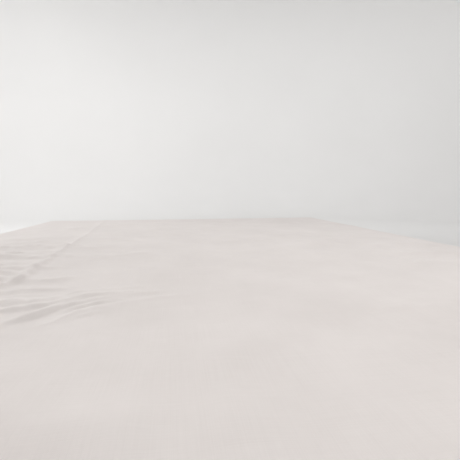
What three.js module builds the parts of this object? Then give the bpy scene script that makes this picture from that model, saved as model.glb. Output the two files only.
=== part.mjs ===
// A flat bed sheet spread over a plain mattress. It hangs down all round, with one loose fold at
// each corner, where the cloth has nowhere to lie flat.
// Millimetres, +Z up. The origin is the middle of the mattress's underside. X runs across the bed,
// and Y runs along it to the head end.
import * as THREE from 'three'

const degree = Math.PI / 180

// Driving dimensions
const mattress = { width: 1600, length: 2000, height: 300, cornerRadius: 60, edgeRadius: 30 }
const sheet = { width: 2000, length: 2400, thickness: 2, hemWidth: 25, hemThickness: 3 }
const seatGap = 0.3 // between the mattress's flat top and the cloth
const edgeClearance = 2 // between the mattress's edges and sides and the cloth
const liftWidth = 60 // strip inside the edge where the gap grows from one to the other

// The loose fold at each corner: how far its ridge swings out from plumb, and which way it points,
// from 0 degrees, across the bed, to 90, along it
const cornerFolds = [
  { side: -1, end: -1, tilt: 33, heading: 63 },
  { side: 1, end: -1, tilt: 20, heading: 74 },
  { side: 1, end: 1, tilt: 34, heading: 65 },
  { side: -1, end: 1, tilt: 31, heading: 23 }
]

// The slow waves of the cloth that hangs along each side: the most that it swings out from plumb,
// how many waves there are and where they start, as a part of one wave. Its hem rises and dips too,
// by at most so much and in waves of its own
const sideWaves = {
  left: { tilt: 3, count: 3.5, start: 0.1, hemRise: 18, riseCount: 0.9 },
  right: { tilt: 3.6, count: 2.5, start: 0.6, hemRise: 15, riseCount: 1.3 },
  foot: { tilt: 2.6, count: 2.5, start: 0.3, hemRise: 14, riseCount: 1.1 },
  head: { tilt: 3.2, count: 3, start: 0.8, hemRise: 16, riseCount: 0.8 }
}

// The crease pressed in when the sheet lay folded: a sharp ridge that wanders along the bed
const pressedCrease = [
  { y: -780, x: -394, height: 0 },
  { y: -600, x: -395, height: 4 },
  { y: -390, x: -388, height: 6.5 },
  { y: -190, x: -396, height: 6.5 },
  { y: 50, x: -413, height: 6 },
  { y: 420, x: -435, height: 5 },
  { y: 900, x: -475, height: 0 }
]
const creaseHalfWidth = 18

// Low folds across the bed, close together between its left side and the crease, and fewer and
// broader on the right: the middle of the ridge line, its slope, how far it reaches to each side
// of its middle, and its height and half width there
const crossFolds = [
  { x: -590, y: 200, slope: -0.08, reach: 150, height: 2.5, halfWidth: 50 },
  { x: -590, y: 102, slope: 0, reach: 160, height: 3, halfWidth: 45 },
  { x: -560, y: 8, slope: -0.1, reach: 170, height: 4, halfWidth: 40 },
  { x: -530, y: -76, slope: -0.06, reach: 150, height: 3.5, halfWidth: 34 },
  { x: -510, y: -140, slope: -0.06, reach: 160, height: 4, halfWidth: 32 },
  { x: -480, y: -205, slope: -0.13, reach: 130, height: 3.5, halfWidth: 30 },
  { x: -495, y: -265, slope: -0.13, reach: 140, height: 4, halfWidth: 28 },
  { x: -480, y: -320, slope: -0.15, reach: 130, height: 4, halfWidth: 28 },
  { x: -465, y: -384, slope: -0.04, reach: 125, height: 4.5, halfWidth: 32 },
  { x: -415, y: -473, slope: 0, reach: 115, height: 3.5, halfWidth: 34 },
  { x: -360, y: -528, slope: 0.05, reach: 115, height: 3, halfWidth: 30 },
  { x: 600, y: -125, slope: -0.1, reach: 165, height: 2.5, halfWidth: 50 },
  { x: 600, y: -265, slope: -0.17, reach: 170, height: 3, halfWidth: 45 },
  { x: 560, y: -395, slope: -0.1, reach: 190, height: 3, halfWidth: 50 }
]

// The cloth lies flat inside these limits, and bends over the edge past them
const flatX = mattress.width / 2 - mattress.edgeRadius
const flatY = mattress.length / 2 - mattress.edgeRadius
const bendRadius = mattress.edgeRadius + edgeClearance
const bendLength = bendRadius * Math.PI / 2
const overhang = sheet.width / 2 - flatX
const hemStart = overhang - sheet.hemWidth

// Threads of the cloth that the model follows, as distances past the flat top
const hemStep = 4 // the width over which the turned hem's extra thickness comes in
const bendPasses = [0.25, 0.5, 0.75, 1].map((part) => part * bendLength)
const hangPasses = [0.25, 0.5, 0.75, 1].map((part) => bendLength + part * (hemStart - bendLength))
const edgePasses = [...bendPasses, ...hangPasses, hemStart + hemStep, overhang]

// And on the flat top: closer together beside the crease, and one along each left fold's ridge and
// along the valley on each side of it
const creaseHome = -410 // the crease's middle place, which the plain columns keep clear of
const creaseColumns = [creaseHome - creaseHalfWidth, creaseHome, creaseHome + creaseHalfWidth]
const plainColumns = [-680, -620, -565, -515, -465, -345, -280, -150, 0, 180, 360, 540]
const foldedZone = { from: -563, to: 250 } // rows inside it follow the left folds
const plainSpacing = 145 // of the rows outside it
const ridges = crossFolds.filter((fold) => fold.x < 0).map((fold) => fold.y).reverse()
const foldRows = ridges.flatMap((ridge, i) => i === 0 ? [ridge] : [(ridges[i - 1] + ridge) / 2, ridge])

const smoothStep = (value) => THREE.MathUtils.smoothstep(value, 0, 1)

// A round-topped bump: 1 at 0, falling to 0 at 1 and staying there
const bump = (value) => Math.abs(value) < 1 ? Math.cos(value * Math.PI / 2) ** 2 : 0

// The crease's place and height at a distance along the bed, eased between its table's rows
function creaseAt(y) {
  const last = pressedCrease.length - 1
  const next = Math.max(1, pressedCrease.findIndex((row) => row.y >= y))
  const b = y > pressedCrease[last].y ? pressedCrease[last] : pressedCrease[next]
  const a = y > pressedCrease[last].y ? b : pressedCrease[next - 1]
  const part = a === b ? 0 : THREE.MathUtils.clamp((y - a.y) / (b.y - a.y), 0, 1)
  return {
    x: THREE.MathUtils.lerp(a.x, b.x, part),
    height: THREE.MathUtils.lerp(a.height, b.height, smoothStep(part))
  }
}

function crossFoldHeight(x, y, fold) {
  const along = (x - fold.x) / fold.reach
  const away = (y - fold.y - fold.slope * (x - fold.x)) / fold.halfWidth
  return fold.height * bump(along) * bump(away)
}

// Height of the cloth's underside over the flat top
function topHeight(x, y) {
  const inside = Math.min(flatX - Math.abs(x), flatY - Math.abs(y))
  const gap = THREE.MathUtils.lerp(edgeClearance, seatGap, Math.min(inside / liftWidth, 1))
  const crease = creaseAt(y)
  const folds = crossFolds.reduce((sum, fold) => sum + crossFoldHeight(x, y, fold), 0)
  return mattress.height + gap + folds + crease.height * bump((x - crease.x) / creaseHalfWidth)
}

// How far out and down a thread reaches: round the edge, then straight, this much off plumb
function overEdge(distance, tilt) {
  const turn = Math.min(distance / bendRadius, Math.PI / 2 - tilt)
  const straight = distance - bendRadius * turn
  return {
    out: bendRadius * Math.sin(turn) + straight * Math.cos(turn),
    down: bendRadius * (1 - Math.cos(turn)) + straight * Math.sin(turn)
  }
}

// A wave along a side, from 0 to 1, at a place from -1 to 1. It dies out at the corners
function waveAt(place, count, start) {
  return (0.5 - 0.5 * Math.cos(2 * Math.PI * (place * count / 2 + start))) * (1 - place ** 4)
}

// How a side hangs at a place along it: its swing off plumb, and how much shorter it hangs
function sideHang(place, wave) {
  return {
    tilt: wave.tilt * degree * waveAt(place, wave.count, wave.start),
    rise: wave.hemRise * waveAt(place, wave.riseCount, wave.start)
  }
}

// Where a point of the flat cloth lies, on its underside. In a corner the cloth goes round as a
// cone: each thread from the corner of the flat top keeps its length and takes its own heading
function drape(across, along) {
  const x = THREE.MathUtils.clamp(across, -flatX, flatX)
  const y = THREE.MathUtils.clamp(along, -flatY, flatY)
  const point = new THREE.Vector3(x, y, topHeight(x, y))
  const past = Math.hypot(across - x, along - y)
  if (past === 0) return point

  const side = across < 0 ? -1 : 1
  const end = along < 0 ? -1 : 1
  const fold = cornerFolds.find((row) => row.side === side && row.end === end)
  // 0 on a side, a right angle on an end
  const around = Math.atan2(Math.abs(along - y), Math.abs(across - x))
  const opened = Math.sin(2 * around)
  const hang = around < Math.PI / 4
    ? sideHang(y / flatY, side < 0 ? sideWaves.left : sideWaves.right)
    : sideHang(x / flatX, end < 0 ? sideWaves.foot : sideWaves.head)
  const tilt = fold.tilt * degree * opened + hang.tilt
  const heading = around + (fold.heading - 45) * degree * opened ** 2
  const hung = smoothStep((past - bendLength) / (overhang - bendLength))
  const { out, down } = overEdge(past - hang.rise * hung, tilt)
  point.x += side * out * Math.cos(heading)
  point.y += end * out * Math.sin(heading)
  point.z -= down
  return point
}

// The cloth's outward direction at a point, from its neighbours' places
function outward(across, along) {
  const step = 1
  const acrossWay = drape(across + step, along).sub(drape(across - step, along))
  const alongWay = drape(across, along + step).sub(drape(across, along - step))
  return acrossWay.cross(alongWay).normalize()
}

function clothThickness(across, along) {
  const past = Math.max(Math.abs(across) - flatX, Math.abs(along) - flatY)
  return past > hemStart + hemStep / 2 ? sheet.hemThickness : sheet.thickness
}

// Places of the model's threads along one way of the cloth, from edge to edge
function threads(flatLimit, inner) {
  const before = edgePasses.map((pass) => -flatLimit - pass).reverse()
  const after = edgePasses.map((pass) => flatLimit + pass)
  const lift = flatLimit - liftWidth
  return [...before, -flatLimit, -lift, ...inner, lift, flatLimit, ...after]
}

function evenPlaces(from, to, spacing) {
  const count = Math.round((to - from) / spacing)
  return Array.from({ length: count }, (_, i) => from + (to - from) * (i + 1) / count)
}

const columns = threads(flatX, [...plainColumns, ...creaseColumns].sort((a, b) => a - b))
const rows = threads(flatY, [
  ...evenPlaces(-flatY + liftWidth, foldedZone.from, plainSpacing),
  ...foldRows,
  foldedZone.to,
  ...evenPlaces(foldedZone.to, flatY - liftWidth, plainSpacing).slice(0, -1)
])

// Columns near the crease move with it, less and less towards the bed's edges
function followCrease(column, y) {
  if (Math.abs(column) >= flatX) return column
  const shift = creaseAt(y).x - creaseHome
  const room = column < creaseHome ? creaseHome + flatX : flatX - creaseHome
  const distance = Math.max(Math.abs(column - creaseHome) - creaseHalfWidth, 0)
  return column + shift * (1 - distance / (room - creaseHalfWidth))
}

// One closed shell: the outer face, the underside and the cut edge that joins them
function sheetGeometry() {
  const outer = []
  const under = []
  for (const row of rows) {
    for (const column of columns) {
      const across = followCrease(column, THREE.MathUtils.clamp(row, -flatY, flatY))
      const point = drape(across, row)
      under.push(point)
      outer.push(outward(across, row).multiplyScalar(clothThickness(across, row)).add(point))
    }
  }
  const wide = columns.length
  const layer = outer.length
  const index = []
  const quad = (a, b, c, d) => index.push(a, b, c, a, c, d)
  for (let j = 0; j < rows.length - 1; j++) {
    for (let i = 0; i < wide - 1; i++) {
      const a = j * wide + i
      const ring = [a, a + 1, a + wide + 1, a + wide]
      // each quad is split along the line that runs out from the bed's middle, as the corner folds do
      if (rows[j] * columns[i] < 0) ring.push(ring.shift())
      quad(...ring)
      quad(...ring.map((corner) => corner + layer).reverse())
    }
  }
  const border = [
    ...columns.slice(1).map((_, i) => i),
    ...rows.slice(1).map((_, j) => j * wide + wide - 1),
    ...columns.slice(1).map((_, i) => layer - 1 - i),
    ...rows.slice(1).map((_, j) => (rows.length - 1 - j) * wide)
  ]
  border.forEach((a, n) => {
    const b = border[(n + 1) % border.length]
    quad(a, layer + a, layer + b, b)
  })
  const geometry = new THREE.BufferGeometry().setFromPoints([...outer, ...under])
  geometry.setIndex(index)
  geometry.computeVertexNormals()
  return geometry
}

// A filled block with round corners and round top and bottom edges
function mattressGeometry() {
  const x = mattress.width / 2
  const y = mattress.length / 2
  const r = mattress.cornerRadius
  const outline = new THREE.Shape()
  outline.absarc(x - r, y - r, r, 0, Math.PI / 2)
  outline.absarc(r - x, y - r, r, Math.PI / 2, Math.PI)
  outline.absarc(r - x, r - y, r, Math.PI, 1.5 * Math.PI)
  outline.absarc(x - r, r - y, r, 1.5 * Math.PI, 2 * Math.PI)
  outline.closePath()
  const geometry = new THREE.ExtrudeGeometry(outline, {
    depth: mattress.height - 2 * mattress.edgeRadius,
    curveSegments: 6,
    bevelThickness: mattress.edgeRadius,
    bevelSize: mattress.edgeRadius,
    bevelOffset: -mattress.edgeRadius,
    bevelSegments: bendPasses.length
  })
  return geometry.translate(0, 0, mattress.edgeRadius)
}

const percale = new THREE.MeshStandardMaterial({ color: 0xdfd8d4, roughness: 0.85, metalness: 0 })
const ticking = new THREE.MeshStandardMaterial({ color: 0xe8e6e2, roughness: 0.9, metalness: 0 })

function namedMesh(name, geometry, material) {
  const mesh = new THREE.Mesh(geometry, material)
  mesh.name = name
  return mesh
}

const group = new THREE.Group()
group.add(namedMesh('mattress', mattressGeometry(), ticking))
group.add(namedMesh('sheet', sheetGeometry(), percale))

export default group
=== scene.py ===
import math

import bmesh
import bpy
import numpy as np
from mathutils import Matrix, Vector


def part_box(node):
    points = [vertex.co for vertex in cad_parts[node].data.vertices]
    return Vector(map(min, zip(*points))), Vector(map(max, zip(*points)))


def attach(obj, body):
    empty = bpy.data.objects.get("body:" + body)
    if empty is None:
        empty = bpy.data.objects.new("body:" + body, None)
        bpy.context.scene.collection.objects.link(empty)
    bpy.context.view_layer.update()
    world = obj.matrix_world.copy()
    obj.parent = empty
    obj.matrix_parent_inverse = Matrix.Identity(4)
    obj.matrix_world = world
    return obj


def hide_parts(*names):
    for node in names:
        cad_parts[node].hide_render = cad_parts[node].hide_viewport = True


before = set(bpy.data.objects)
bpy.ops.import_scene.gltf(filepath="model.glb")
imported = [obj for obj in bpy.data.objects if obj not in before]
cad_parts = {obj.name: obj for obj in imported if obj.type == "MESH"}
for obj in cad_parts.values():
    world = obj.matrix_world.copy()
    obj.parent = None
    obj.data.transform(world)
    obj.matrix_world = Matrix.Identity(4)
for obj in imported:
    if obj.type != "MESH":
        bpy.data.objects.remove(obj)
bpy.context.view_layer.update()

scene = bpy.context.scene

bedLow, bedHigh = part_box("mattress")
bed = {
    "width": bedHigh.x - bedLow.x,
    "length": bedHigh.y - bedLow.y,
    "height": bedHigh.z,
    "cornerRadius": 0.06,
    "edgeRadius": 0.03
}
flatX = bed["width"] / 2 - bed["edgeRadius"]  # the top is flat inside these limits
flatY = bed["length"] / 2 - bed["edgeRadius"]


def smoothStep(value):
    t = np.clip(value, 0, 1)
    return t * t * (3 - 2 * t)


def newPiece(name, mesh):
    piece = bpy.data.objects.new(name, mesh)
    scene.collection.objects.link(piece)
    mesh.polygons.foreach_set("use_smooth", [True] * len(mesh.polygons))
    return piece


def meshPiece(name, vertices, faces):
    mesh = bpy.data.meshes.new(name)
    mesh.from_pydata(vertices, [], faces)
    return newPiece(name, mesh)


# the camera stands low at the foot, left of the bed's middle line
viewpoint = {
    "place": (-0.089, -1.08, 0.4765),
    "turn": 9.3,  # degrees to the right of the bed's own line
    "dip": 6.65,  # degrees below level
    "lens": 26.6,
    "sensor": 36,
    "farLimit": 60
}


def makeCamera(settings):
    data = bpy.data.cameras.new("bedCamera")
    data.lens = settings["lens"]
    data.sensor_width = settings["sensor"]
    data.clip_end = settings["farLimit"]
    camera = bpy.data.objects.new("bedCamera", data)
    camera.location = settings["place"]
    camera.rotation_euler = (math.radians(90 - settings["dip"]), 0, -math.radians(settings["turn"]))
    scene.collection.objects.link(camera)
    scene.camera = camera


makeCamera(viewpoint)
print("camera placed")

# the sheet as it is cut and hemmed, and how far it lies off the mattress
sheetCut = {
    "width": 2.0,
    "length": 2.4,
    "thickness": 0.0008,
    "hemWidth": 0.025,
    "hemThickness": 0.0018,
    "clearance": 0.002
}
halfCutX = sheetCut["width"] / 2
halfCutY = sheetCut["length"] / 2
bendRadius = bed["edgeRadius"] + sheetCut["clearance"]
bendLength = bendRadius * math.pi / 2

# the loose fold at each corner: how far its ridge swings out from plumb, and which way it points,
# from 0 degrees, across the bed, to 90, along it
cornerFolds = [
    {"side": -1, "end": -1, "tilt": 35, "heading": 61},
    {"side": 1, "end": -1, "tilt": 20, "heading": 70},
    {"side": 1, "end": 1, "tilt": 36, "heading": 63},
    {"side": -1, "end": 1, "tilt": 32, "heading": 26}
]


def hungCloth(u, v):
    # each thread goes round the edge and then straight down. In a corner the threads fan out as a cone
    x = np.clip(u, -flatX, flatX)
    y = np.clip(v, -flatY, flatY)
    side = np.where(u < 0, -1, 1)
    end = np.where(v < 0, -1, 1)
    past = np.hypot(u - x, v - y)
    around = np.arctan2(abs(v - y), abs(u - x))
    opened = np.where(past > 0, np.sin(2 * around), 0)
    tilt = np.zeros_like(u)
    lean = np.zeros_like(u)
    for fold in cornerFolds:
        here = (side == fold["side"]) & (end == fold["end"])
        tilt[here] = math.radians(fold["tilt"])
        lean[here] = math.radians(fold["heading"] - 45)
    tilt = tilt * opened
    heading = around + lean * opened ** 2
    turn = np.minimum(past / bendRadius, math.pi / 2 - tilt)
    straight = past - bendRadius * turn
    out = bendRadius * np.sin(turn) + straight * np.cos(turn)
    down = bendRadius * (1 - np.cos(turn)) + straight * np.sin(turn)
    return np.stack([
        x + side * out * np.cos(heading),
        y + end * out * np.sin(heading),
        bed["height"] + sheetCut["clearance"] - down
    ], -1)


# the cloth then settles under its own weight, as a simulated net of threads
settling = {
    "thread": 0.025,  # spacing of the threads
    "lift": 0.003,  # the cloth starts this far clear of the block and sinks on to it
    "steps": 40,
    "quality": 6,
    "mass": 0.15,
    "stretch": 40,
    "shear": 20,
    "bending": 4,
    "stretchDamping": 10,
    "shearDamping": 5,
    "bendingDamping": 0.5,
    "airDamping": 2,
    "friction": 30,
    "contactQuality": 3,
    "clothGap": 0.002,  # the gaps kept by the cloth, by what it lies on and between its layers
    "blockGap": 0.003,
    "selfGap": 0.003,
    "blockInset": 0.003,
    "blockCornerSteps": 10,
    "blockEdgeSteps": 6,
    "floorHeight": 0.004,
    "floorReach": 1.8
}


def bevelEdges(block, edges, radius, steps):
    bmesh.ops.bevel(block, geom=edges, offset=radius, segments=steps, affect="EDGES", profile=0.5)


def roundedBlock(settings):
    inset = settings["blockInset"]
    width = bed["width"] - 2 * inset
    length = bed["length"] - 2 * inset
    height = bed["height"] - inset
    block = bmesh.new()
    bmesh.ops.create_cube(block, size=1)
    for vert in block.verts:
        vert.co = Vector((vert.co.x * width, vert.co.y * length, (vert.co.z + 0.5) * height))
    upright = [edge for edge in block.edges if abs(edge.verts[0].co.z - edge.verts[1].co.z) > height / 2]
    bevelEdges(block, upright, bed["cornerRadius"] - inset, settings["blockCornerSteps"])
    block.normal_update()
    upper = [
        edge for edge in block.edges
        if min(vert.co.z for vert in edge.verts) > height * 0.99
        and sum(face.normal.z > 0.9 for face in edge.link_faces) == 1
    ]
    bevelEdges(block, upper, bed["edgeRadius"] - inset, settings["blockEdgeSteps"])
    mesh = bpy.data.meshes.new("settlingBlock")
    block.to_mesh(mesh)
    block.free()
    return newPiece("settlingBlock", mesh)


def floorPatch(height, reach):
    outline = [(-reach, -reach), (reach, -reach), (reach, reach), (-reach, reach)]
    return meshPiece("settlingFloor", [(x, y, height) for x, y in outline], [(0, 1, 2, 3)])


def gridFaces(wide, deep):
    index = np.arange(wide * deep).reshape(wide, deep)
    return np.stack([index[:-1, :-1], index[1:, :-1], index[1:, 1:], index[:-1, 1:]], -1).reshape(-1, 4)


def ringFaces(levels, count):
    # the faces between each ring of points and the next
    faces = []
    for level in range(levels - 1):
        for corner in range(count):
            a = level * count + corner
            b = level * count + (corner + 1) % count
            faces.append((a, b, b + count, a + count))
    return faces


def settleCloth(settings):
    wide = round(sheetCut["width"] / settings["thread"]) + 1
    deep = round(sheetCut["length"] / settings["thread"]) + 1
    u, v = np.meshgrid(
        np.linspace(-halfCutX, halfCutX, wide), np.linspace(-halfCutY, halfCutY, deep), indexing="ij"
    )
    hung = hungCloth(u, v)

    block = roundedBlock(settings)
    floor = floorPatch(settings["floorHeight"], settings["floorReach"])
    for collider in (block, floor):
        collider.modifiers.new("collide", "COLLISION")
        collider.collision.thickness_outer = settings["blockGap"]
        collider.collision.cloth_friction = settings["friction"]

    lifted = hung + [0, 0, settings["lift"]]
    cloth = meshPiece("settlingCloth", lifted.reshape(-1, 3).tolist(), gridFaces(wide, deep).tolist())
    cloth.shape_key_add(name="Basis")
    flatCut = cloth.shape_key_add(name="flatCut")  # the threads keep the lengths of the flat cut
    flat = np.stack([u, v, np.full_like(u, bed["height"])], -1)
    flatCut.data.foreach_set("co", flat.ravel())
    flatCut.value = 0

    modifier = cloth.modifiers.new("settle", "CLOTH")
    fabric = modifier.settings
    fabric.rest_shape_key = flatCut
    fabric.quality = settings["quality"]
    fabric.mass = settings["mass"]
    fabric.tension_stiffness = settings["stretch"]
    fabric.compression_stiffness = settings["stretch"]
    fabric.shear_stiffness = settings["shear"]
    fabric.bending_stiffness = settings["bending"]
    fabric.tension_damping = settings["stretchDamping"]
    fabric.compression_damping = settings["stretchDamping"]
    fabric.shear_damping = settings["shearDamping"]
    fabric.bending_damping = settings["bendingDamping"]
    fabric.air_damping = settings["airDamping"]
    contact = modifier.collision_settings
    contact.collision_quality = settings["contactQuality"]
    contact.distance_min = settings["clothGap"]
    contact.use_self_collision = True
    contact.self_distance_min = settings["selfGap"]
    modifier.point_cache.frame_end = settings["steps"]
    for step in range(1, settings["steps"] + 1):
        scene.frame_set(step)
    evaluated = cloth.evaluated_get(bpy.context.evaluated_depsgraph_get())
    settled = np.zeros(wide * deep * 3, np.float32)
    evaluated.data.vertices.foreach_get("co", settled)
    scene.frame_set(1)

    for helper in (cloth, block, floor):
        bpy.data.objects.remove(helper)
    return settled.reshape(wide, deep, 3).astype(float)


settledCloth = settleCloth(settling)
print("cloth settled: from", settledCloth.min((0, 1)).round(4), "to", settledCloth.max((0, 1)).round(4))


def readSettled(u, v):
    # the settled threads, joined by smooth curves
    place = []
    wide, deep = settledCloth.shape[:2]
    for value, half, count in ((u, halfCutX, wide), (v, halfCutY, deep)):
        at = (value + half) / (2 * half) * (count - 1)
        first = np.clip(np.floor(at).astype(int), 0, count - 2)
        t = at - first
        weights = [
            (-t + 2 * t ** 2 - t ** 3) / 2,
            (2 - 5 * t ** 2 + 3 * t ** 3) / 2,
            (t + 4 * t ** 2 - 3 * t ** 3) / 2,
            (-t ** 2 + t ** 3) / 2
        ]
        place.append([(first + step, weight, count) for step, weight in zip((-1, 0, 1, 2), weights)])
    point = 0
    for i, weightX, countX in place[0]:
        for j, weightY, countY in place[1]:
            # past the cut edge a thread goes on straight
            a = np.clip(i, 0, countX - 1)
            b = np.clip(j, 0, countY - 1)
            knot = settledCloth[a, b]
            mirrored = 2 * knot - settledCloth[2 * a - i, 2 * b - j]
            beyond = (a != i) | (b != j)
            knot = np.where(beyond[..., None], mirrored, knot)
            point = point + (weightX * weightY)[..., None] * knot
    return point


# Creases and soft swells, listed one by one. Each is a line of places on the cloth, with its height and
# the half width of each of its two slopes: left of the line as it runs, and right of it. It fades out
# towards its two ends, and "strength" makes it higher or lower from place to place.
# First the crease pressed in when the sheet lay folded, which wanders from hem to hem
pressedCrease = {
    "line": [(-0.41, -1.19), (-0.4, -0.98), (-0.39, -0.84), (-0.395, -0.7), (-0.395, -0.5),
             (-0.395, -0.44), (-0.385, -0.375), (-0.395, -0.3), (-0.395, -0.19), (-0.41, -0.045),
             (-0.42, 0.18), (-0.435, 0.42), (-0.47, 0.79), (-0.48, 1.19)],
    "strength": [0.15, 0.2, 0.3, 0.55, 0.9, 1, 1, 0.9, 0.75, 0.65, 0.5, 0.4, 0.3, 0.15],
    "height": 0.0075, "slopes": (0.012, 0.0085), "fade": 0.1
}

# cross wrinkles from the bed's left side to the pressed crease and past it, the ones nearest the
# head end first
crossWrinkles = [
    {"line": [(-0.78, 0.235), (-0.72, 0.21), (-0.64, 0.2), (-0.555, 0.2), (-0.465, 0.185), (-0.38, 0.19)],
     "strength": [0.3, 0.7, 1, 1, 0.7, 0.3], "height": 0.003, "slopes": (0.034, 0.02), "fade": 0.2},
    {"line": [(-0.7, 0.11), (-0.64, 0.095), (-0.565, 0.115), (-0.485, 0.1), (-0.41, 0.105)],
     "height": 0.0034, "slopes": (0.03, 0.018), "fade": 0.4},
    {"line": [(-0.79, 0.045), (-0.7, 0.02), (-0.6, 0.015), (-0.55, 0.02), (-0.505, 0.005), (-0.43, -0.01),
              (-0.37, -0.02), (-0.26, 0)],
     "strength": [0.4, 0.8, 1, 1, 1, 0.75, 0.35, 0.2], "height": 0.0052, "slopes": (0.03, 0.016),
     "fade": 0.15},
    {"line": [(-0.63, -0.075), (-0.565, -0.07), (-0.5, -0.08), (-0.435, -0.085), (-0.38, -0.08)],
     "height": 0.0032, "slopes": (0.016, 0.011), "fade": 0.35},
    {"line": [(-0.73, -0.11), (-0.66, -0.13), (-0.595, -0.135), (-0.53, -0.14), (-0.48, -0.145),
              (-0.405, -0.14), (-0.35, -0.15), (-0.22, -0.17)],
     "strength": [0.4, 0.8, 1, 1, 1, 0.75, 0.4, 0.2], "height": 0.0056, "slopes": (0.025, 0.016),
     "fade": 0.15},
    {"line": [(-0.57, -0.195), (-0.51, -0.2), (-0.465, -0.205), (-0.415, -0.22), (-0.37, -0.22)],
     "height": 0.003, "slopes": (0.015, 0.01), "fade": 0.35},
    {"line": [(-0.5, -0.23), (-0.445, -0.24), (-0.415, -0.245), (-0.375, -0.255)],
     "height": 0.0036, "slopes": (0.014, 0.01), "fade": 0.35},
    {"line": [(-0.79, -0.2), (-0.7, -0.235), (-0.61, -0.25), (-0.54, -0.26), (-0.475, -0.265),
              (-0.435, -0.28), (-0.37, -0.285), (-0.3, -0.28)],
     "strength": [0.4, 0.5, 0.75, 1, 1, 0.8, 0.4, 0.15], "height": 0.005, "slopes": (0.017, 0.011),
     "fade": 0.15},
    {"line": [(-0.57, -0.305), (-0.495, -0.315), (-0.45, -0.32), (-0.415, -0.33), (-0.36, -0.33)],
     "height": 0.0046, "slopes": (0.016, 0.011), "fade": 0.33},
    {"line": [(-0.78, -0.34), (-0.68, -0.365), (-0.58, -0.37), (-0.485, -0.38), (-0.42, -0.385),
              (-0.38, -0.385), (-0.345, -0.39), (-0.24, -0.38)],
     "strength": [0.3, 0.4, 0.65, 1, 1, 0.8, 0.5, 0.2], "height": 0.006, "slopes": (0.024, 0.015),
     "fade": 0.15},
    {"line": [(-0.5, -0.43), (-0.435, -0.435), (-0.405, -0.435), (-0.36, -0.44)],
     "height": 0.003, "slopes": (0.012, 0.009), "fade": 0.35},
    {"line": [(-0.66, -0.44), (-0.53, -0.465), (-0.45, -0.475), (-0.375, -0.475), (-0.3, -0.465),
              (-0.22, -0.45)],
     "strength": [0.4, 0.7, 1, 1, 0.6, 0.3], "height": 0.0046, "slopes": (0.02, 0.013), "fade": 0.2},
    {"line": [(-0.485, -0.525), (-0.415, -0.53), (-0.355, -0.53), (-0.305, -0.525), (-0.245, -0.5),
              (-0.16, -0.48)],
     "strength": [0.6, 1, 1, 1, 0.7, 0.3], "height": 0.0042, "slopes": (0.02, 0.014), "fade": 0.3},
    # a fan of drag creases, thin and crisp
    {"line": [(-0.4, -0.575), (-0.33, -0.565), (-0.305, -0.555), (-0.275, -0.545), (-0.23, -0.52),
              (-0.17, -0.5), (-0.1, -0.49)],
     "strength": [0.4, 1, 1, 1, 0.8, 0.5, 0.2], "height": 0.0042, "slopes": (0.01, 0.008), "fade": 0.2},
    {"line": [(-0.33, -0.635), (-0.285, -0.59), (-0.26, -0.56), (-0.215, -0.535), (-0.15, -0.51),
              (-0.08, -0.5)],
     "strength": [0.5, 1, 1, 0.7, 0.4, 0.2], "height": 0.0044, "slopes": (0.009, 0.007), "fade": 0.2},
    {"line": [(-0.285, -0.645), (-0.245, -0.615), (-0.225, -0.59), (-0.185, -0.565), (-0.12, -0.535),
              (-0.05, -0.52)],
     "strength": [0.5, 1, 1, 0.8, 0.4, 0.2], "height": 0.0034, "slopes": (0.009, 0.007), "fade": 0.25}
]

softSwells = [
    # broad ones on the right
    {"line": [(0.425, -0.225), (0.58, -0.265), (0.675, -0.28), (0.785, -0.285)],
     "height": 0.005, "slopes": (0.05, 0.036), "fade": 0.35},
    {"line": [(0.365, -0.37), (0.53, -0.39), (0.64, -0.41), (0.76, -0.41)],
     "height": 0.005, "slopes": (0.055, 0.034), "fade": 0.4},
    {"line": [(0.425, -0.105), (0.58, -0.13), (0.785, -0.14)],
     "height": 0.004, "slopes": (0.056, 0.045), "fade": 0.4},
    {"line": [(0.205, -0.6), (0.315, -0.62), (0.34, -0.635), (0.44, -0.655)],
     "height": 0.0028, "slopes": (0.026, 0.02), "fade": 0.45},
    {"line": [(0.155, -0.62), (0.26, -0.64), (0.305, -0.67), (0.385, -0.71)],
     "height": 0.0028, "slopes": (0.026, 0.02), "fade": 0.45},
    # faint ones near the foot
    {"line": [(-0.02, -0.66), (-0.04, -0.76), (-0.05, -0.83), (-0.035, -0.92)],
     "height": 0.0016, "slopes": (0.02, 0.016), "fade": 0.45},
    {"line": [(-0.52, -0.78), (-0.35, -0.805), (-0.215, -0.83), (-0.12, -0.84), (0.025, -0.855)],
     "strength": [0.8, 1, 1, 0.6, 0.4], "height": 0.0062, "slopes": (0.085, 0.032), "fade": 0.3},
    {"line": [(-0.125, -0.91), (-0.13, -0.86), (-0.137, -0.81)],
     "height": 0.0026, "slopes": (0.03, 0.018), "fade": 0.45}
]


def lineLengths(crease):
    # its places, the length of each run between two of them, and how far along it each one is
    line = np.array(crease["line"])
    runs = np.hypot(*(line[1:] - line[:-1]).T)
    return line, runs, np.concatenate([[0], np.cumsum(runs)])


# finer creases that run beside the cross wrinkles, a little askew
companions = {
    "seed": 2, "each": 3, "places": 4, "offset": (0.009, 0.032), "skew": 0.012, "fade": 0.45,
    "height": (0.25, 0.5), "length": (0.3, 0.8), "slopes": (0.5, 0.55)  # as parts of the wrinkle's own
}


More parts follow.
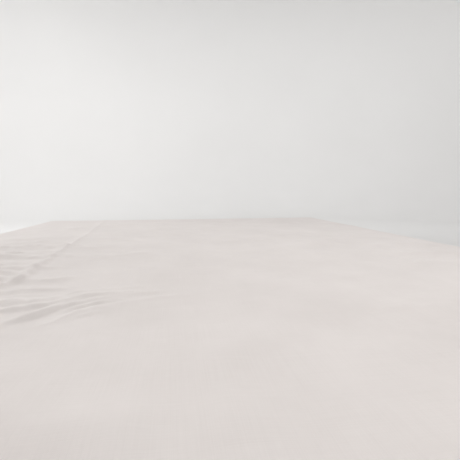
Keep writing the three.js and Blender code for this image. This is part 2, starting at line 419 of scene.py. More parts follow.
def companionCreases(settings):
    chance = np.random.default_rng(settings["seed"])
    count = settings["places"]
    for crease in crossWrinkles:
        line, _, at = lineLengths(crease)
        for _ in range(settings["each"]):
            part = chance.uniform(*settings["length"])
            start = chance.uniform(0, 1 - part)
            places = (start + part * np.linspace(0, 1, count)) * at[-1]
            shift = chance.uniform(*settings["offset"]) * chance.choice([-1, 1])
            skew = chance.uniform(-settings["skew"], settings["skew"]) * np.linspace(-1, 1, count)
            points = np.column_stack([
                np.interp(places, at, line[:, 0]), np.interp(places, at, line[:, 1]) + shift + skew
            ])
            yield {
                "line": points,
                "height": crease["height"] * chance.uniform(*settings["height"]),
                "slopes": tuple(np.multiply(crease["slopes"], settings["slopes"])),
                "fade": settings["fade"]
            }


# broad soft creases over the rest of the top, left by hands that smoothed the sheet out
quietFolds = {
    "seed": 21, "count": 30, "placeX": (-0.72, 0.74), "placeY": (-0.5, 0.94), "reach": (0.07, 0.24),
    "turn": 35, "bow": 0.16, "height": (0.0009, 0.003), "slopes": (0.026, 0.055), "fade": 0.5
}


def quietCreases(settings):
    chance = np.random.default_rng(settings["seed"])
    for _ in range(settings["count"]):
        middle = np.array([chance.uniform(*settings["placeX"]), chance.uniform(*settings["placeY"])])
        angle = math.radians(chance.uniform(-settings["turn"], settings["turn"]))
        way = np.array([math.cos(angle), math.sin(angle)]) * chance.uniform(*settings["reach"])
        bow = np.array([-way[1], way[0]]) * chance.uniform(-settings["bow"], settings["bow"])
        slopes = chance.uniform(*settings["slopes"], 2)
        yield {
            "line": [tuple(middle - way), tuple(middle + bow), tuple(middle + way)],
            "height": chance.uniform(*settings["height"]),
            "slopes": tuple(slopes),
            "fade": settings["fade"]
        }


# short drag creases where the cloth turns into each corner's loose fold, fanned out over the top
cornerDrags = {
    "seed": 3, "each": 4, "tip": 0.01, "from": 0.012, "reach": (0.1, 0.26), "spread": 62,
    "jitter": (0.25, 0.75), "bow": 0.012, "height": (0.0016, 0.0038), "slopes": (0.016, 0.012), "fade": 0.5
}


def cornerCreases(settings):
    chance = np.random.default_rng(settings["seed"])
    for fold in cornerFolds:
        tip = np.array([fold["side"] * (flatX + settings["tip"]), fold["end"] * (flatY + settings["tip"])])
        for number in range(settings["each"]):
            part = (number + chance.uniform(*settings["jitter"])) / settings["each"]
            angle = math.radians(45 + (part - 0.5) * settings["spread"])
            way = np.array([-fold["side"] * math.cos(angle), -fold["end"] * math.sin(angle)])
            bow = np.array([-way[1], way[0]]) * chance.uniform(-settings["bow"], settings["bow"])
            reach = chance.uniform(*settings["reach"])
            first = tip + way * settings["from"]
            yield {
                "line": [tuple(first), tuple(first + way * reach / 2 + bow), tuple(first + way * reach)],
                "height": chance.uniform(*settings["height"]),
                "slopes": settings["slopes"],
                "fade": settings["fade"]
            }


# small upright folds where the cloth hangs: each starts near the bend and widens down past the hem
hangFolds = {
    "seed": 8, "onLongSide": 11, "onShortSide": 8, "start": (-0.012, 0.05), "reach": 0.34, "lean": 0.05,
    "jitter": (0.1, 0.9), "cornerRoom": 0.06, "height": (0.003, 0.009), "slopes": (0.018, 0.045),
    "fade": 0.4
}


def hangCreases(settings):
    chance = np.random.default_rng(settings["seed"])
    for onLong, side in ((True, -1), (True, 1), (False, -1), (False, 1)):
        count = settings["onLongSide" if onLong else "onShortSide"]
        limit = flatX if onLong else flatY
        room = (flatY if onLong else flatX) - settings["cornerRoom"]
        for number in range(count):
            place = ((number + chance.uniform(*settings["jitter"])) / count * 2 - 1) * room
            start = limit + chance.uniform(*settings["start"])
            lean = chance.uniform(-1, 1) * settings["lean"]
            ends = [(side * start, place), (side * (start + settings["reach"]), place + lean)]
            yield {
                "line": [end if onLong else end[::-1] for end in ends],
                "height": chance.uniform(*settings["height"]),
                "slopes": tuple(chance.uniform(*settings["slopes"], 2)),
                "fade": settings["fade"]
            }


wrinkles = [*crossWrinkles, *softSwells, *companionCreases(companions), *quietCreases(quietFolds)]
drags = list(cornerCreases(cornerDrags))
uprightFolds = list(hangCreases(hangFolds))
print("creases placed:", 1 + len(wrinkles) + len(drags) + len(uprightFolds))

slopePower = 1.6  # the shape of a crease's slopes: 1 is a sharp ridge and 2 a soft bell


def creaseHeight(u, v, crease):
    line, runs, starts = lineLengths(crease)
    nearest = np.full(u.shape, np.inf)
    away = np.zeros_like(u)
    along = np.zeros_like(u)
    for (x0, y0), (x1, y1), run, start in zip(line[:-1], line[1:], runs, starts):
        wayX = (x1 - x0) / run
        wayY = (y1 - y0) / run
        forward = np.clip((u - x0) * wayX + (v - y0) * wayY, 0, run)
        offX = u - x0 - forward * wayX
        offY = v - y0 - forward * wayY
        distance = np.hypot(offX, offY)
        closer = distance < nearest
        nearest = np.where(closer, distance, nearest)
        away = np.where(closer, wayX * offY - wayY * offX, away)
        along = np.where(closer, start + forward, along)
    left, right = crease["slopes"]
    place = nearest / np.where(away > 0, left, right)
    part = along / starts[-1]
    fade = smoothStep(part / crease["fade"]) * smoothStep((1 - part) / crease["fade"])
    strength = np.interp(along, starts, crease["strength"]) if "strength" in crease else 1
    return crease["height"] * strength * fade * np.exp(-place ** slopePower)


# slow unevenness of cloth that has been smoothed out by hand, and flutes where it hangs
unevenness = {
    "seed": 11,
    "waves": 26,
    "flutes": 6,
    "flatHeight": 0.0034,
    "flatLengths": (0.08, 0.42),
    "hangHeight": 0.014,
    "fluteLengths": (0.15, 0.5),
    "fluteGrowth": 0.15,  # the flutes reach their full height over this length
    "fluteShift": 3,  # the flutes of the foot and head sides start from another place
    "wrinkleLow": 1.0,  # the wrinkles come and go in patches, between these two strengths
    "wrinkleHigh": 1.8,
    "patchScale": 3,
    "patchShift": 1,
    "wrinkleFade": 0.05,  # each kind dies away over this length at the edge of the flat top
    "dragFade": 0.02,
    "flatFade": 0.08,
    "flatAtEdge": 0.3
}


def makeWaves(settings):
    chance = np.random.default_rng(settings["seed"])
    waves = []
    for _ in range(settings["waves"]):
        heading = chance.uniform(0, math.pi)
        length = chance.uniform(*settings["flatLengths"])
        waves.append((math.cos(heading) / length, math.sin(heading) / length, chance.uniform(0, 1)))
    flutes = [
        (1 / chance.uniform(*settings["fluteLengths"]), chance.uniform(0, 1))
        for _ in range(settings["flutes"])
    ]
    return waves, flutes


softWaves, hangFlutes = makeWaves(unevenness)


def mixedWaves(turns):
    # waves added together, as a height from 0 to 1
    total = sum(np.cos(2 * math.pi * turn) for turn in turns)
    return 0.5 + 0.5 * np.tanh(total / math.sqrt(len(turns)))


def softHeight(u, v):
    return mixedWaves([u * across + v * along + start for across, along, start in softWaves])


def fluteHeight(place):
    return mixedWaves([place * count + start for count, start in hangFlutes])


# the slow waves of each hanging side: how far it swings out from plumb, how many waves there are and
# where they start. Its hem rises and dips too, in waves of its own
sideWaves = {
    "left": {"tilt": 3, "count": 3.5, "start": 0.1, "hemRise": 0.018, "riseCount": 0.9},
    "right": {"tilt": 3.6, "count": 2.5, "start": 0.6, "hemRise": 0.015, "riseCount": 1.3},
    "foot": {"tilt": 2.6, "count": 2.5, "start": 0.3, "hemRise": 0.014, "riseCount": 1.1},
    "head": {"tilt": 3.2, "count": 3, "start": 0.8, "hemRise": 0.016, "riseCount": 0.8}
}
ripple = {"rise": 0.004, "count": 23, "shift": 9}  # and small quick waves along every hem
overhang = halfCutX - flatX


def cornerFade(place):
    return 1 - np.clip(place, -1, 1) ** 4


def waveAt(place, count, start):
    part = np.clip(place, -1, 1)
    return (0.5 - 0.5 * np.cos(2 * math.pi * (part * count / 2 + start))) * cornerFade(place)


def sideSwing(past, place, wave):
    tilt = math.radians(wave["tilt"]) * waveAt(place, wave["count"], wave["start"])
    return np.maximum(past - bendLength, 0) * np.sin(tilt)


def sideRise(past, place, wave):
    # how much shorter a side hangs: the cloth is drawn up, more and more towards its hem
    slow = wave["hemRise"] * waveAt(place, wave["riseCount"], wave["start"])
    quick = ripple["rise"] * np.sin(place * ripple["count"] + wave["start"] * ripple["shift"])
    quick = quick * cornerFade(place)
    return (slow + quick) * smoothStep((past - bendLength) / (overhang - bendLength))


def relief(u, v):
    # how far the cloth stands off the settled shape, along its outward direction
    inside = np.minimum(flatX - abs(u), flatY - abs(v))
    scale = unevenness["patchScale"]
    patches = softHeight(u * scale + unevenness["patchShift"], v * scale)
    low = unevenness["wrinkleLow"]
    strength = low + (unevenness["wrinkleHigh"] - low) * patches
    strength = strength * smoothStep(inside / unevenness["wrinkleFade"] + 1)
    height = strength * sum(creaseHeight(u, v, crease) for crease in wrinkles)
    height = height + creaseHeight(u, v, pressedCrease)
    dragHeight = sum(creaseHeight(u, v, crease) for crease in drags)
    height = height + dragHeight * smoothStep(inside / unevenness["dragFade"] + 1)
    height = height + sum(creaseHeight(u, v, crease) for crease in uprightFolds)
    flatShare = smoothStep(inside / unevenness["flatFade"] + unevenness["flatAtEdge"])
    height = height + unevenness["flatHeight"] * softHeight(u, v) * flatShare
    pastX = abs(u) - flatX
    pastY = abs(v) - flatY
    growth = unevenness["fluteGrowth"]
    hangX = smoothStep((pastX - bendLength) / growth) * smoothStep(-pastY / growth)
    hangY = smoothStep((pastY - bendLength) / growth) * smoothStep(-pastX / growth)
    flutes = hangX * fluteHeight(v) + hangY * fluteHeight(u + unevenness["fluteShift"])
    return height + unevenness["hangHeight"] * flutes


outwardStep = 0.0015  # a surface is read this far to each side to find its outward direction


def outward(surface, u, v):
    step = outwardStep
    across = surface(np.minimum(u + step, halfCutX), v) - surface(np.maximum(u - step, -halfCutX), v)
    along = surface(u, np.minimum(v + step, halfCutY)) - surface(u, np.maximum(v - step, -halfCutY))
    normal = np.cross(across, along)
    return normal / np.linalg.norm(normal, axis=-1, keepdims=True)


def hungSurface(u, v):
    sides = [
        (-u - flatX, v / flatY, sideWaves["left"]), (u - flatX, v / flatY, sideWaves["right"]),
        (-v - flatY, u / flatX, sideWaves["foot"]), (v - flatY, u / flatX, sideWaves["head"])
    ]
    left, right, foot, head = [sideRise(*side) for side in sides]
    point = readSettled(u - right + left, v - head + foot)
    left, right, foot, head = [sideSwing(*side) for side in sides]
    return point + np.stack([right - left, head - foot, np.zeros_like(u)], -1)


def clothUnderside(u, v):
    return hungSurface(u, v) + outward(hungSurface, u, v) * relief(u, v)[..., None]


# the turned hem and its groove, where the stitches lie
hem = {
    "step": 0.0025,  # the width over which the turned hem's extra thickness comes in
    "stitchInset": 0.023,  # the row of stitches, from the cut's edge
    "grooveDepth": 0.0005,
    "grooveWidth": 0.0016
}


def edgeDistance(u, v):
    return np.minimum(halfCutX - abs(u), halfCutY - abs(v))


def clothThickness(u, v):
    inside = edgeDistance(u, v)
    turned = 1 - smoothStep((inside - sheetCut["hemWidth"]) / hem["step"] + 1)
    extra = sheetCut["hemThickness"] - sheetCut["thickness"]
    groove = np.exp(-((inside - hem["stitchInset"]) / hem["grooveWidth"]) ** 2)
    return sheetCut["thickness"] + extra * turned - hem["grooveDepth"] * groove


def clothOuter(u, v):
    return clothUnderside(u, v) + outward(clothUnderside, u, v) * clothThickness(u, v)[..., None]


# spacing of the sheet's threads: fine where it is creased, finer where it bends and at its hems
threadSpacing = {
    "hemPlaces": (0, 0.0015, 0.012, 0.0205, 0.023, 0.0255, 0.029),  # in from the cut's edge
    "hang": 0.0145,
    "bend": 0.0075,
    # on the flat top: each spacing holds up to a place
    "columns": [(-0.64, 0.016), (-0.42, 0.0065), (-0.2, 0.0045), (flatX, 0.016)],
    "rows": [(-0.66, 0.02), (-0.5, 0.0045), (0.12, 0.0065), (flatY, 0.02)]
}


def evenPlaces(start, stop, spacing):
    return list(np.linspace(start, stop, max(1, round((stop - start) / spacing)) + 1)[:-1])


def threadPlaces(limit, halfCut, zones):
    hemPlaces = [halfCut - place for place in threadSpacing["hemPlaces"]]
    bendEnd = limit + bendLength
    right = [
        *evenPlaces(limit, bendEnd, threadSpacing["bend"]),
        *evenPlaces(bendEnd, hemPlaces[-1], threadSpacing["hang"]),
        *hemPlaces[::-1]
    ]
    middle = []
    start = -limit
    for stop, spacing in zones:
        middle.extend(evenPlaces(start, stop, spacing))
        start = stop
    return np.array([-place for place in right[:0:-1]] + middle + right)


def makeSheet():
    columns = threadPlaces(flatX, halfCutX, threadSpacing["columns"])
    rows = threadPlaces(flatY, halfCutY, threadSpacing["rows"])
    wide = len(columns)
    deep = len(rows)
    u, v = np.meshgrid(columns, rows, indexing="ij")
    outer = clothOuter(u, v).reshape(-1, 3)
    under = clothUnderside(u, v).reshape(-1, 3)
    layer = wide * deep
    faces = gridFaces(wide, deep)
    index = np.arange(layer).reshape(wide, deep)
    border = np.concatenate([index[:, 0], index[-1, 1:], index[-2::-1, -1], index[0, -2:0:-1]])
    after = np.roll(border, -1)
    rim = np.stack([border, border + layer, after + layer, after], -1)
    allFaces = np.concatenate([faces, faces[:, ::-1] + layer, rim])
    sheetCloth = meshPiece("sheetCloth", np.concatenate([outer, under]).tolist(), allFaces.tolist())
    mesh = sheetCloth.data
    flat = np.concatenate([np.stack([u, v], -1).reshape(-1, 2)] * 2)
    corners = np.zeros(len(mesh.loops), int)
    mesh.loops.foreach_get("vertex_index", corners)
    mesh.uv_layers.new(name="clothMap").data.foreach_set("uv", flat[corners].ravel())
    rimEdges = {tuple(sorted(pair)) for ring in rim for pair in ((ring[0], ring[3]), (ring[1], ring[2]))}
    for edge in mesh.edges:
        if tuple(sorted(edge.vertices)) in rimEdges:
            edge.use_edge_sharp = True
    print("sheet:", sum(len(face.vertices) - 2 for face in mesh.polygons), "triangles")
    return sheetCloth


# the stitches along the hems
stitch = {
    "pitch": 0.0034,
    "length": 0.0024,
    "radius": 0.00032,
    "sides": 5,
    "rise": 0.6,  # its middle stands this many radii off the cloth
    "shoulder": 0.6,  # it is full over this part of its length
    "readStep": 0.0006
}


def stitchPlaces():
    # the middle of each stitch and the way it runs, round all four hems
    reachX = halfCutX - hem["stitchInset"]
    reachY = halfCutY - hem["stitchInset"]
    corners = [(-reachX, -reachY), (reachX, -reachY), (reachX, reachY), (-reachX, reachY)]
    places = []
    ways = []
    for (x0, y0), (x1, y1) in zip(corners, corners[1:] + corners[:1]):
        run = math.hypot(x1 - x0, y1 - y0)
        way = ((x1 - x0) / run, (y1 - y0) / run)
        for along in np.arange(stitch["pitch"], run - stitch["pitch"] / 2, stitch["pitch"]):
            places.append((x0 + way[0] * along, y0 + way[1] * along))
            ways.append(way)
    return np.array(places), np.array(ways)


def makeStitches():
    places, ways = stitchPlaces()
    u, v = places.T
    middle = clothOuter(u, v)
    up = outward(clothUnderside, u, v)
    step = stitch["readStep"]
    ahead = clothOuter(u + ways[:, 0] * step, v + ways[:, 1] * step)
    forward = ahead - middle
    forward = forward / np.linalg.norm(forward, axis=1, keepdims=True)
    across = np.cross(up, forward)
    rise = up * stitch["radius"] * stitch["rise"]
    middle = middle + rise
    half = stitch["length"] / 2
    sides = stitch["sides"]
    points = [middle - forward * half - rise]
    for shift in (-stitch["shoulder"] * half, stitch["shoulder"] * half):
        for corner in range(sides):
            angle = 2 * math.pi * corner / sides
            spoke = across * math.cos(angle) + up * math.sin(angle)
            points.append(middle + forward * shift + spoke * stitch["radius"])
    points.append(middle + forward * half - rise)
    each = len(points)
    faces = []
    for corner in range(sides):
        a = 1 + corner
        b = 1 + (corner + 1) % sides
        faces.append((0, b, a))
        faces.append((a, b, b + sides, a + sides))
        faces.append((a + sides, b + sides, each - 1))
    vertices = np.stack(points, 1).reshape(-1, 3)
    allFaces = []
    for number in range(len(places)):
        allFaces.extend(tuple(corner + each * number for corner in face) for face in faces)
    print("stitches:", len(places))
    return meshPiece("hemStitches", vertices.tolist(), allFaces)


# the mattress: a padded border between two taped edges
pad = {
    "sideInset": 0.006,
    "crown": 0.004,  # how far the border swells between its two taped edges
    "crownPower": 0.7,
    "tapeRadius": 0.0045,
    "tapeHeight": 0.034,
    "topGap": 0.0004,
    # the rounding of its lower edge, up to the tape: how far in, and how high
    "rounding": [(0.034, 0), (0.026, 0.0012), (0.018, 0.0052), (0.012, 0.0115), (0.0085, 0.02)],
    "besideTape": (0.0072, 0.001),  # how far in, and how far below the tape
    "dimple": 0.0012,
    "dimpleScale": 2,
    "dimpleFrom": 0.04,  # where the dimples start, in from the border's two edges
    "dimpleGrowth": 0.03,
    "sideStep": 0.03,
    "cornerSteps": 14,
    "tapeSteps": 6,
    "borderSteps": 12
}


def roundedOutline(inset):
    # points round the mattress, this far in from its sides
    reachX = bed["width"] / 2 - bed["cornerRadius"]
    reachY = bed["length"] / 2 - bed["cornerRadius"]
    radius = bed["cornerRadius"] - inset
    points = []
    corners = [(1, -1, -90), (1, 1, 0), (-1, 1, 90), (-1, -1, 180)]
    for number, (side, end, start) in enumerate(corners):
        centre = np.array([side * reachX, end * reachY])
        for step in range(pad["cornerSteps"] + 1):
            angle = math.radians(start + 90 * step / pad["cornerSteps"])
            points.append(centre + radius * np.array([math.cos(angle), math.sin(angle)]))
        nextSide, nextEnd, nextStart = corners[(number + 1) % 4]
        angle = math.radians(nextStart)
        goal = np.array([nextSide * reachX, nextEnd * reachY])
        goal = goal + radius * np.array([math.cos(angle), math.sin(angle)])
        run = goal - points[-1]
        count = round(np.linalg.norm(run) / pad["sideStep"])
        points.extend([points[-1] + run * step / count for step in range(1, count)])
    return np.array(points)


def padProfile():
    # the side of the mattress from its underside to its top: how far in, and how high
    top = bed["height"] - pad["topGap"]
    tape = pad["tapeRadius"]
    low = pad["tapeHeight"]
    high = top - low
    inset, below = pad["besideTape"]
    edge = [*pad["rounding"], (inset, low - tape - below)]
    for step in range(pad["tapeSteps"] + 1):
        angle = math.pi * (step / pad["tapeSteps"] - 0.5)
        edge.append((pad["sideInset"] - tape * math.cos(angle), low + tape * math.sin(angle)))
    rise = high - low - 2 * tape
    border = []
    for step in range(1, pad["borderSteps"]):
        part = step / pad["borderSteps"]
        swell = pad["crown"] * math.sin(math.pi * part) ** pad["crownPower"]
        border.append((pad["sideInset"] - swell, low + tape + rise * part))
    return edge + border + [(inset, top - height) for inset, height in edge[::-1]]


def makeMattress():
    reach = np.array([bed["width"] / 2, bed["length"] / 2])
    scale = pad["dimpleScale"]
    growth = pad["dimpleGrowth"]
    rings = []
    for inset, height in padProfile():
        outline = roundedOutline(inset)
        border = smoothStep((height - pad["dimpleFrom"]) / growth)
        border = border * smoothStep((bed["height"] - pad["dimpleFrom"] - height) / growth)
        x, y = outline.T
        pull = pad["dimple"] * border * softHeight(x * scale + height, y * scale - height)
        outline = outline - np.sign(outline) * (abs(outline) > reach - bed["cornerRadius"]) * pull[:, None]
        rings.append(np.column_stack([outline, np.full(len(outline), height)]))
    count = len(rings[0])
    underside = list(range(count))[::-1]
    top = [(len(rings) - 1) * count + corner for corner in range(count)]
    faces = [underside, *ringFaces(len(rings), count), top]
    print("mattress:", len(faces), "faces")
    return meshPiece("mattressPad", np.concatenate(rings).tolist(), faces)


def newMaterial(name, sockets):
    material = bpy.data.materials.new(name)
    material.use_nodes = True
    tree = material.node_tree
    surface = tree.nodes["Principled BSDF"]
    for socket, value in sockets.items():
        surface.inputs[socket].default_value = value
    return material, tree, surface


def addNode(tree, kind, links=(), **values):
    # a node with its settings, the values of its sockets, and what is plugged into them
    node = tree.nodes.new(kind)
    for name, value in values.items():
        if hasattr(node, name):
            setattr(node, name, value)
        else:
            node.inputs[name].default_value = value
    for socket, source in dict(links).items():
        tree.links.new(source, node.inputs[socket])
    return node


def scaled(tree, source, scale):
    return addNode(tree, "ShaderNodeMapping", {"Vector": source}, Scale=scale).outputs["Vector"]


def addNoise(tree, place, scale, detail, roughness=0.5):
    noise = addNode(
        tree, "ShaderNodeTexNoise", {"Vector": place}, Scale=scale, Detail=detail, Roughness=roughness
    )
    return noise.outputs["Fac"]


def addBump(tree, height, bump, under=None, invert=False):
    # bumps of a strength and a height in metres, on top of the ones made before them
    strength, distance = bump
    links = {"Height": height}
    if under is not None:
        links["Normal"] = under
    node = addNode(tree, "ShaderNodeBump", links, invert=invert, Strength=strength, Distance=distance)
    return node.outputs["Normal"]


def toneRamp(tree, source, settings):
    # runs from the dark colour to the light one as its source goes from low to high
    ramp = addNode(tree, "ShaderNodeValToRGB", {"Fac": source})
    first, last = ramp.color_ramp.elements
    first.position, last.position = settings["toneRange"]
    first.color = settings["dark"]
    last.color = settings["light"]
    return ramp.outputs["Color"]


def mathNode(tree, operation, *values):
    node = tree.nodes.new("ShaderNodeMath")
    node.operation = operation
    for socket, value in zip(node.inputs, values):
        if isinstance(value, (int, float)):
            socket.default_value = value
        else:
            tree.links.new(value, socket)
    return node.outputs["Value"]


percale = {
    "light": (0.818, 0.773, 0.754, 1),
    "dark": (0.708, 0.662, 0.643, 1),
    "toneRange": (0.26, 0.76),
    "wearScale": 5,
    "wearShare": 0.6,
    "slubScales": ((14, 1100, 1), (900, 11, 1)),
    "slubShare": 0.42,
    "threadPitch": 0.00055,
    # each kind of bump has its strength and its height
    "weaveBump": (0.35, 0.00006),
    "slubBump": (0.5, 0.0002),
    "rumpleScale": (30, 42, 1),
    "rumpleBump": (0.5, 0.0012),
    "puckerScale": (95, 95, 1),
    "puckerBump": (0.8, 0.0022),
    "puckerMiddle": 0.019,  # in from the cut's edge
    "puckerReach": 0.01,
    "surface": {
        "Roughness": 0.86, "Specular IOR Level": 0.25, "Sheen Weight": 0.12, "Sheen Roughness": 0.5
    }
}


def percaleMaterial(settings):
    material, tree, surface = newMaterial("percale", settings["surface"])
    place = addNode(tree, "ShaderNodeUVMap", uv_map="clothMap").outputs["UV"]

    # slubs: threads a little thicker or darker over a few centimetres, in both directions
    warpSlubs, weftSlubs = [
        addNoise(tree, scaled(tree, place, scale), scale=1, detail=2, roughness=0.6)
        for scale in settings["slubScales"]
    ]
    slub = mathNode(tree, "MULTIPLY_ADD", warpSlubs, 0.5, mathNode(tree, "MULTIPLY", weftSlubs, 0.5))

    # uneven tone, left by wear and washing
    wear = addNoise(tree, place, settings["wearScale"], detail=5, roughness=0.62)
    slubTone = mathNode(tree, "MULTIPLY", slub, settings["slubShare"])
    shade = mathNode(tree, "MULTIPLY_ADD", wear, settings["wearShare"], slubTone)
    tree.links.new(toneRamp(tree, shade, settings), surface.inputs["Base Color"])

    # the plain weave: threads over and under, one each way
    halfTurns = math.pi / settings["threadPitch"]
    axes = addNode(tree, "ShaderNodeSeparateXYZ", {"Vector": place})
    warp, weft = [
        mathNode(tree, "SINE", mathNode(tree, "MULTIPLY", axes.outputs[axis], halfTurns)) for axis in "XY"
    ]
    weave = mathNode(tree, "MULTIPLY", warp, weft)
    normal = addBump(tree, weave, settings["weaveBump"])
    normal = addBump(tree, slub, settings["slubBump"], normal)

    # small soft rumples that are too fine for the mesh
    rumple = addNoise(tree, scaled(tree, place, settings["rumpleScale"]), scale=1, detail=4, roughness=0.55)
    normal = addBump(tree, rumple, settings["rumpleBump"], normal)

    # the stitches draw the hem into small puckers
    fromSide = mathNode(tree, "SUBTRACT", halfCutX, mathNode(tree, "ABSOLUTE", axes.outputs["X"]))
    fromEnd = mathNode(tree, "SUBTRACT", halfCutY, mathNode(tree, "ABSOLUTE", axes.outputs["Y"]))
    fromEdge = mathNode(tree, "MINIMUM", fromSide, fromEnd)
    fromMiddle = mathNode(tree, "SUBTRACT", fromEdge, settings["puckerMiddle"])
    off = mathNode(tree, "DIVIDE", fromMiddle, settings["puckerReach"])
    dome = mathNode(tree, "SUBTRACT", 1, mathNode(tree, "MULTIPLY", off, off))
    near = mathNode(tree, "MAXIMUM", dome, 0)
    pucker = addNoise(tree, scaled(tree, place, settings["puckerScale"]), scale=1, detail=1)
    normal = addBump(tree, mathNode(tree, "MULTIPLY", near, pucker), settings["puckerBump"], normal)
    tree.links.new(normal, surface.inputs["Normal"])
    return material


sewingThread = {
    "light": (0.79, 0.74, 0.71, 1),
    "dark": (0.66, 0.61, 0.58, 1),
    "toneRange": (0.35, 0.65),
    "twist": 700,
    "bump": (0.4, 0.0001),
    "surface": {"Roughness": 0.6, "Sheen Weight": 0.1}
}


def threadMaterial(settings):
    material, tree, surface = newMaterial("sewingThread", settings["surface"])
    place = addNode(tree, "ShaderNodeTexCoord").outputs["Object"]
    twist = addNoise(tree, place, settings["twist"], detail=2)
    tree.links.new(toneRamp(tree, twist, settings), surface.inputs["Base Color"])
    tree.links.new(addBump(tree, twist, settings["bump"]), surface.inputs["Normal"])
    return material


# the mattress's knitted cover: small stitches, raised cells knitted into it, and a little yarn fuzz
ticking = {
    "light": (0.79, 0.78, 0.76, 1),
    "dark": (0.68, 0.665, 0.64, 1),
    "toneRange": (0.32, 0.66),
    "knitScale": 420,
    "knitStretch": (1, 1, 1.35),
    "knitBump": (0.5, 0.0006),
    "cellScale": 62,
    "cellBump": (0.6, 0.0035),
    "fuzzScale": 240,
    "surface": {"Roughness": 0.9, "Sheen Weight": 0.1}
}


def tickingMaterial(settings):
    material, tree, surface = newMaterial("ticking", settings["surface"])
    place = addNode(tree, "ShaderNodeTexCoord").outputs["Object"]
    knit = addNode(
        tree, "ShaderNodeTexVoronoi", {"Vector": scaled(tree, place, settings["knitStretch"])},
        Scale=settings["knitScale"], Randomness=0.3
    ).outputs["Distance"]
    cells = addNode(
        tree, "ShaderNodeTexVoronoi", {"Vector": place},
        feature="SMOOTH_F1", Scale=settings["cellScale"], Randomness=0.12
    ).outputs["Distance"]
    fuzz = addNoise(tree, place, settings["fuzzScale"], detail=4, roughness=0.7)
    tree.links.new(toneRamp(tree, fuzz, settings), surface.inputs["Base Color"])
    normal = addBump(tree, cells, settings["cellBump"], invert=True)
    normal = addBump(tree, knit, settings["knitBump"], normal)
    tree.links.new(normal, surface.inputs["Normal"])
    return material


paint = {
    "light": (0.82, 0.815, 0.81, 1),
    "dark": (0.78, 0.775, 0.77, 1),
    "toneRange": (0, 1),
    "toneScale": 0.6,
    "surface": {"Roughness": 0.95, "Specular IOR Level": 0.1}
}


def paintMaterial(settings):
    material, tree, surface = newMaterial("studioPaint", settings["surface"])
    place = addNode(tree, "ShaderNodeTexCoord").outputs["Object"]
    tone = addNoise(tree, place, settings["toneScale"], detail=3)
    tree.links.new(toneRamp(tree, tone, settings), surface.inputs["Base Color"])
    return material


# the studio: a round room painted one pale colour, with a window light from the head end's left,
# soft lights for the bed and others for the wall behind it
warmWhite = (1, 0.99, 0.98)
plainWhite = (1, 1, 1)
studio = {
    "floorRadius": 5,
    "coveRadius": 1.6,
    "wallHeight": 8,
    "hubRadius": 0.001,
    "coveSteps": 12,
    "sides": 96,
    "skyStrength": 0.48,
    "skyColor": (1, 0.995, 0.985, 1),
    "lights": [
        {"name": "windowLight", "place": (-3.2, 3.3, 2.75), "aim": (-0.1, -0.2, 0.3),
         "size": 0.7, "cone": 36, "blend": 0.6, "watts": 474, "color": warmWhite},
        {"name": "overheadLight", "place": (0.4, -0.9, 1.6), "aim": (0.2, -0.7, 0.3),
         "size": 1, "watts": 6.1, "color": warmWhite},
        {"name": "fillLeft", "place": (-4.6, -2.4, 1.3), "aim": (0, -1, 0.15),
         "size": 1.5, "watts": 15, "color": warmWhite},
        {"name": "fillRight", "place": (3.7, -4.15, 2.2), "aim": (0.4, -0.5, 0.15),
         "size": 1.2, "watts": 51, "color": warmWhite},
        {"name": "backdropLeft", "place": (-2, 2.4, 2.6), "aim": (-2.4, 6.6, 1.2),
         "size": 3, "watts": 65, "color": plainWhite},
        {"name": "backdropRight", "place": (2.2, 2.4, 3), "aim": (2.8, 6.4, 1.6),
         "size": 3, "watts": 18, "color": plainWhite},
        {"name": "backdropMiddle", "place": (0.2, 2.6, 3.2), "aim": (0.2, 6.6, 2.4),
         "size": 4, "watts": 22, "color": plainWhite},
        {"name": "floorRight", "place": (2.6, 0.6, 3), "aim": (3.2, 4.6, 0.6),
         "size": 3, "watts": 36, "color": plainWhite}
    ]
}


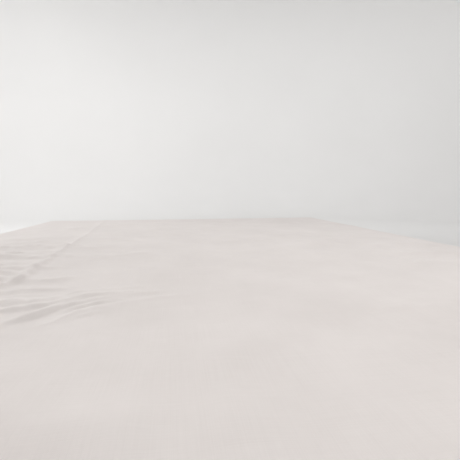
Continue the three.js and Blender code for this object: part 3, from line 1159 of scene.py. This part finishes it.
def makeStudio(settings):
    # floor and wall in one: a flat disc, a round cove and an upright wall all the way round
    profile = [(settings["hubRadius"], 0), (settings["floorRadius"], 0)]
    for step in range(1, settings["coveSteps"] + 1):
        angle = math.pi / 2 * step / settings["coveSteps"]
        profile.append((
            settings["floorRadius"] + settings["coveRadius"] * math.sin(angle),
            settings["coveRadius"] * (1 - math.cos(angle))
        ))
    profile.append((settings["floorRadius"] + settings["coveRadius"], settings["wallHeight"]))
    count = settings["sides"]
    vertices = []
    for radius, height in profile:
        for corner in range(count):
            angle = 2 * math.pi * corner / count
            vertices.append((radius * math.cos(angle), radius * math.sin(angle), height))
    cove = meshPiece("studioCove", vertices, ringFaces(len(profile), count))
    cove.data.materials.append(paintMaterial(paint))


def makeLights(settings):
    for row in settings["lights"]:
        spot = "cone" in row
        data = bpy.data.lights.new(row["name"], "SPOT" if spot else "AREA")
        if spot:
            data.shadow_soft_size = row["size"]
            data.spot_size = math.radians(row["cone"])
            data.spot_blend = row["blend"]
        else:
            data.size = row["size"]
        data.energy = row["watts"]
        data.color = row["color"]
        light = bpy.data.objects.new(row["name"], data)
        light.location = row["place"]
        way = Vector(row["aim"]) - Vector(row["place"])
        light.rotation_euler = way.to_track_quat("-Z", "Y").to_euler()
        light.visible_camera = False
        scene.collection.objects.link(light)
    world = bpy.data.worlds.new("studioSky")
    world.use_nodes = True
    background = world.node_tree.nodes["Background"]
    background.inputs["Color"].default_value = settings["skyColor"]
    background.inputs["Strength"].default_value = settings["skyStrength"]
    scene.world = world
    scene.view_settings.view_transform = "Standard"


sheetCloth = makeSheet()
sheetCloth.data.materials.append(percaleMaterial(percale))
hemStitches = makeStitches()
hemStitches.data.materials.append(threadMaterial(sewingThread))
mattressPad = makeMattress()
mattressPad.data.materials.append(tickingMaterial(ticking))

makeStudio(studio)
makeLights(studio)
print("studio made:", len(studio["lights"]), "lights")

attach(sheetCloth, "root")
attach(hemStitches, "root")
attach(mattressPad, "root")
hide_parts("sheet")
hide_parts("mattress")
